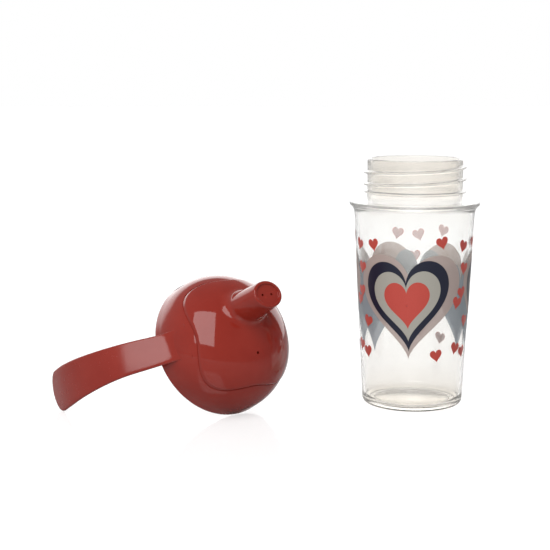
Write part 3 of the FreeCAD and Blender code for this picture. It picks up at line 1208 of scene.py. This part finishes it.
        for share in spread(0.1, 0.92, 9):
            ring(lambda a, s=share: wall_point(a, s))

        def fillet_point(angle: float, share: float) -> Point:
            """A point of the curve between the spout and the dome."""
            first, middle, last = (Vector(spot) for spot in foot(angle))
            rest = 1.0 - share
            spot = rest * rest * first + 2.0 * rest * share * middle + share * share * last
            return tuple(spot)

        for share in spread(0.0, 1.0, 13):
            ring(lambda a, s=share: fillet_point(a, s))

        def field_point(angle: float, share: float) -> Point:
            """A point of the raised panel between the spout and the panel's edge."""
            start = foot(angle)[2]
            edge = self.panel_edge(angle) - self.panel_step
            x = start[0] + (edge * math.cos(angle) - start[0]) * share
            y = start[1] + (edge * math.sin(angle) - start[1]) * share
            return x, y, self.dome_up(math.hypot(x, y), self.panel_raise)

        for share in spread(0.04, 1.0, 26):
            ring(lambda a, s=share: field_point(a, s))

        def step_point(angle: float, share: float) -> Point:
            """A point of the step down at the panel's edge."""
            reach = self.panel_edge(angle) - self.panel_step * (1.0 - share)
            fall = smooth_step(min(share / 0.6, 1.0))
            proud = self.panel_raise - (self.panel_raise + self.panel_groove) * fall
            proud += self.panel_groove * smooth_step(max(share - 0.6, 0.0) / 0.4)
            up = self.dome_up(reach, proud)
            return reach * math.cos(angle), reach * math.sin(angle), up

        for share in (0.08, 0.16, 0.25, 0.33, 0.42, 0.5, 0.6, 0.7, 0.8, 0.9, 1.0):
            ring(lambda a, s=share: step_point(a, s))

        def side_point(angle: float, share: float) -> Point:
            """A point of the dome below the panel, by its own steepness."""
            wide = self.radius - self.step
            start = math.acos((self.panel_edge(angle) / wide) ** (self.power / 2.0))
            turn = start * (1.0 - share)
            reach = wide * math.cos(turn) ** (2.0 / self.power)
            up = self.skirt + (self.height - self.skirt) * math.sin(turn) ** (2.0 / self.power)
            return reach * math.cos(angle), reach * math.sin(angle), up

        for share in (0.03, 0.08, *spread(0.14, 0.96, 26), 1.0):
            ring(lambda a, s=share: side_point(a, s))

        inner_skirt = self.radius - self.wall
        rim = rounded_outline([
            (self.radius - self.step, self.skirt, 0.0), (self.radius, 0.0, 0.55),
            (inner_skirt, 0.0, 0.4), (inner_skirt - self.step, self.skirt, 0.0),
        ], 5)
        for reach, up in rim[1:]:
            ring(lambda a, r=reach, z=up: (r * math.cos(a), r * math.sin(a), z))
        wide = self.radius - self.step - self.wall
        rise = self.height - self.skirt - self.wall
        for turn in spread(math.radians(2.0), math.radians(88.0), 26):
            reach = wide * math.cos(turn) ** (2.0 / self.power)
            up = self.skirt + rise * math.sin(turn) ** (2.0 / self.power)
            ring(lambda a, r=reach, z=up: (r * math.cos(a), r * math.sin(a), z))
        skin.stack(rows)
        skin.cap(rows[0], (0.0, self.spout_offset, dish))
        skin.cap(rows[-1], (0.0, 0.0, self.height - self.wall))
        return skin.build("lid_moulding", place)

    def post(
        self, name: str, place: Matrix, centre: float, halves: Flat, low: float,
        high: Callable[[float], float], bore: Flat | None = None, edge: float = 0.35,
    ) -> bpy.types.Object:
        """Build an upright post or tube whose top follows a height function.

        Args:
            name: The object's name.
            place: Where the lid lies.
            centre: Offset of the post's middle along Y.
            halves: Half length and half width of the outside.
            low: Height of the lower end.
            high: Height of the upper end at a distance from the lid's axis.
            bore: Half length and half width of the inside, for a tube.
            edge: Rounding of the lower edges.

        Returns:
            The closed mesh object.
        """
        skin = Skin()
        angles = round_angles(120, 0.37)

        def level(shape: Flat, inset: float, up: float) -> list[int]:
            """Add a level ring."""
            return skin.row((
                (shape[0] - inset) * math.cos(a), centre + (shape[1] - inset) * math.sin(a), up
            ) for a in angles)

        def crown(shape: Flat) -> list[int]:
            """Add the ring at the top."""
            return skin.row((
                shape[0] * math.cos(a), centre + shape[1] * math.sin(a),
                high(math.hypot(shape[0] * math.cos(a), centre + shape[1] * math.sin(a))),
            ) for a in angles)

        bevel = [(edge, 0.0), (0.45 * edge, 0.12 * edge), (0.12 * edge, 0.45 * edge), (0.0, edge)]
        outside = [level(halves, inset, low + up) for inset, up in bevel] + [crown(halves)]
        skin.stack(outside)
        if bore is None:
            skin.cap(outside[0], (0.0, centre, low))
            skin.cap(outside[-1], (0.0, centre, high(abs(centre))))
        else:
            inside = [level(bore, -inset, low + up) for inset, up in bevel] + [crown(bore)]
            skin.stack(inside)
            skin.band(outside[0], inside[0])
            skin.band(outside[-1], inside[-1])
        return skin.build(name, place)

    def collar(self, place: Matrix) -> bpy.types.Object:
        """Build the threaded collar that screws over the cup's neck."""
        skin = Skin()
        outer = self.collar_radius + self.collar_wall
        wall = ThreadedWall(
            self.collar_radius, self.collar_start + 0.4, self.collar_top, self.ridge_start,
            self.ridge_turns, depth=-self.ridge_depth,
        )
        angles = round_angles(wall.columns)

        def ring(reach: float, up: float) -> list[int]:
            """Add a level ring."""
            return skin.row((reach * math.cos(a), reach * math.sin(a), up) for a in angles)

        bottom, top = wall.lay(skin)
        crown_in = ring(self.collar_radius, self.dome_up(self.collar_radius) - 1.1)
        crown_out = ring(outer, self.dome_up(outer) - 0.9)
        skin.band(top, crown_in)
        skin.band(crown_in, crown_out)
        low = self.collar_start
        rows = [ring(outer, low + 0.4), ring(outer - 0.12, low + 0.12), ring(outer - 0.4, low),
                ring(self.collar_radius + 0.4, low), ring(self.collar_radius + 0.12, low + 0.12)]
        skin.stack(rows)
        skin.band(crown_out, rows[0])
        skin.band(rows[-1], bottom)
        return skin.build("collar", place)

    def loft(
        self, name: str, place: Matrix, rings: Sequence[tuple[float, float, float, float, float]],
    ) -> bpy.types.Object:
        """Build a closed loft of ovals, used as a cutting tool.

        Args:
            name: The object's name.
            place: Where the lid lies.
            rings: Middle across, middle back, half length, half width and height of each.

        Returns:
            The closed mesh object.
        """
        skin = Skin()
        angles = round_angles(72, 0.21)
        rows = [
            skin.row((x + p * math.cos(a), y + q * math.sin(a), z) for a in angles)
            for x, y, p, q, z in rings
        ]
        skin.stack(rows)
        skin.cap(rows[0], (rings[0][0], rings[0][1], rings[0][4]))
        skin.cap(rows[-1], (rings[-1][0], rings[-1][1], rings[-1][4]))
        return skin.build(name, place)

    def parts_inside(self, place: Matrix) -> list[bpy.types.Object]:
        """Build the collar, the plug ring and the two spigots."""
        middle = self.wall / 2.0
        plug_in = self.plug_radius - self.plug_wall
        return [
            self.collar(place),
            self.post(
                "plug_ring", place, 0.0, (self.plug_radius, self.plug_radius), self.plug_start,
                lambda r: self.dome_up(r) - middle, (plug_in, plug_in),
            ),
            self.post(
                "spout_spigot", place, self.spout_offset,
                (self.foot_length / 2.0 - 0.06, self.foot_width / 2.0 - 0.06), self.spigot_end,
                lambda r: self.dome_up(r) - middle,
            ),
            self.post(
                "vent_spigot", place, -self.vent_offset, (self.vent_spigot, self.vent_spigot),
                self.spigot_end, lambda r: self.dome_up(r) - middle,
            ),
        ]

    def cutters(self, place: Matrix) -> list[bpy.types.Object]:
        """Build the tools that open the spout, its two holes and the vent."""
        roof = self.spout_height - self.tip_recess - self.spout_lip
        low = self.spigot_end - 1.0
        foot = (self.foot_length / 2.0 - self.spout_wall, self.foot_width / 2.0 - self.spout_wall)
        tip = (self.tip_length / 2.0 - self.spout_wall, self.tip_width / 2.0 - self.spout_wall)
        bore_r = self.vent_spigot - self.spigot_wall
        vent_roof = self.height - self.wall - 4.0
        vent_r = self.vent_hole / 2.0
        tools = [
            self.loft("bore_tool", place, [
                (0.0, self.spout_offset, *foot, low), (0.0, self.spout_offset, *tip, roof),
            ]),
            self.loft("vent_tool", place, [
                (0.0, -self.vent_offset, bore_r, bore_r, low),
                (0.0, -self.vent_offset, bore_r, bore_r, vent_roof),
                (0.0, -self.vent_offset, vent_r, vent_r, vent_roof + 0.01),
                (0.0, -self.vent_offset, vent_r, vent_r, self.height + 2.0),
            ]),
        ]
        hole_r = self.hole / 2.0
        for side in (-1.0, 1.0):
            x = side * self.hole_pitch / 2.0
            tools.append(self.loft("hole_tool", place, [
                (x, self.spout_offset, hole_r, hole_r, roof - 1.0),
                (x, self.spout_offset, hole_r, hole_r, self.spout_height + 1.0),
            ]))
        return tools

    def make(self) -> bpy.types.Object:
        """Build the lid, dress it and put it in the frame's lid body."""
        place = self.place()
        piece = self.shell(place)
        for tool in [self.strap.mesh(place), *self.parts_inside(place)]:
            work_in(piece, tool, Joining.ADD)
        for tool in self.cutters(place):
            work_in(piece, tool, Joining.CUT)
        settle_shading(piece, 34.0)
        piece.data.materials.clear()
        piece.data.materials.append(self.finish.make())
        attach(piece, "lid")
        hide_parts("lid_shell")
        LOG.info("lid: %d faces", len(piece.data.polygons))
        return piece


# ---------------------------------------------------------------------- studio
@dataclass
class Studio:
    """White table, softbox, lit room and camera of a small product studio."""

    camera_spot: Point = (-81.06, -788.0, 196.0)
    camera_pitch: float = 81.3
    lens: float = 89.15
    key_spot: Point = (-212.0, -851.0, 834.0)
    key_aim: Point = (-115.0, -17.0, 40.0)
    key_size: Flat = (810.0, 1030.0)
    key_power: float = 9.2
    table_size: float = 12000.0
    left_glow: float = 0.50
    right_glow: float = 0.28
    backdrop: float = 2.0
    table: WhiteTable = field(default_factory=WhiteTable)

    def lamp(self, name: str, spot: Point, aim: Point, size: Flat, power: float) -> None:
        """Hang one rectangular softbox.

        Args:
            name: The lamp's name.
            spot: Where it hangs, in millimetres.
            aim: The point it faces, in millimetres.
            size: Width and height, in millimetres.
            power: Output in watts.
        """
        light = bpy.data.lights.new(name, "AREA")
        light.shape = "RECTANGLE"
        light.size, light.size_y = size[0] * MM, size[1] * MM
        light.energy = power
        holder = bpy.data.objects.new(name, light)
        holder.location = Vector(spot) * MM
        way = (Vector(aim) - Vector(spot)).normalized()
        holder.rotation_euler = way.to_track_quat("-Z", "Y").to_euler()
        bpy.context.scene.collection.objects.link(holder)

    def surround(self) -> None:
        """Light the room: bright low behind the object, dimmer elsewhere, white to the camera."""
        world = bpy.data.worlds.new("studio_room")
        bpy.context.scene.world = world
        world.use_nodes = True
        tree = world.node_tree
        tree.nodes.clear()
        where = add_node(tree, "ShaderNodeTexCoord")
        axes = add_node(tree, "ShaderNodeSeparateXYZ", {"Vector": where.outputs["Generated"]})
        room = add_node(tree, "ShaderNodeMapRange", {
            "Value": axes.outputs["X"], "From Min": -0.85, "From Max": 0.35,
            "To Min": self.left_glow, "To Max": self.right_glow,
        })
        deep = add_node(tree, "ShaderNodeMapRange", {
            "Value": axes.outputs["Y"], "From Min": 0.40, "From Max": 0.60,
            "To Min": 0.0, "To Max": self.backdrop,
        })
        low = add_node(tree, "ShaderNodeMapRange", {
            "Value": axes.outputs["Z"], "From Min": 0.42, "From Max": 0.54,
            "To Min": 1.0, "To Max": 0.0,
        })
        screen = add_node(tree, "ShaderNodeMath", {
            0: deep.outputs["Result"], 1: low.outputs["Result"],
        }, operation="MULTIPLY")
        depth = add_node(tree, "ShaderNodeMath", {
            0: screen.outputs["Value"], 1: room.outputs["Result"],
        }, operation="MAXIMUM")
        rays = add_node(tree, "ShaderNodeLightPath")
        seen = add_node(tree, "ShaderNodeMix", {
            "Factor": rays.outputs["Is Camera Ray"],
        }, data_type="FLOAT")
        tree.links.new(depth.outputs["Value"], seen.inputs[2])
        seen.inputs[3].default_value = 1.0
        sky = add_node(tree, "ShaderNodeBackground", {
            "Color": (1.0, 1.0, 1.0, 1.0), "Strength": seen.outputs[0],
        })
        add_node(tree, "ShaderNodeOutputWorld", {"Surface": sky.outputs["Background"]})

    def make(self) -> None:
        """Set up the camera, the table, the softbox and the room."""
        scene = bpy.context.scene
        scene.view_settings.view_transform = "Standard"
        scene.view_settings.look = "None"
        data = bpy.data.cameras.new("studio_camera")
        data.lens = self.lens
        data.sensor_width = 36.0
        camera = bpy.data.objects.new("studio_camera", data)
        camera.location = Vector(self.camera_spot) * MM
        camera.rotation_euler = (math.radians(self.camera_pitch), 0.0, 0.0)
        scene.collection.objects.link(camera)
        scene.camera = camera
        half = self.table_size / 2.0
        skin = Skin()
        rows = [skin.row((x, y, 0.0) for x in (-half, half)) for y in (-half, half)]
        skin.stack(rows, closed=False)
        floor = skin.build("table_top")
        floor.data.materials.append(self.table.make())
        self.lamp("key_softbox", self.key_spot, self.key_aim, self.key_size, self.key_power)
        self.surround()
        LOG.info("studio ready")


def main() -> None:
    """Build the tumbler, its print and the lid, dress the valve and set up the studio, in order."""
    logging.basicConfig(level=logging.INFO, format="%(name)s: %(message)s")
    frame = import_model()
    cup = Tumbler()
    cup.make()
    HeartPrint(cup).make()
    DomeLid().make()
    valve = frame["nodes"]["spill_valve"]
    valve.data.materials.clear()
    valve.data.materials.append(MilkySilicone().make())
    LOG.info("valve dressed in silicone")
    Studio().make()


if __name__ == "__main__":
    main()
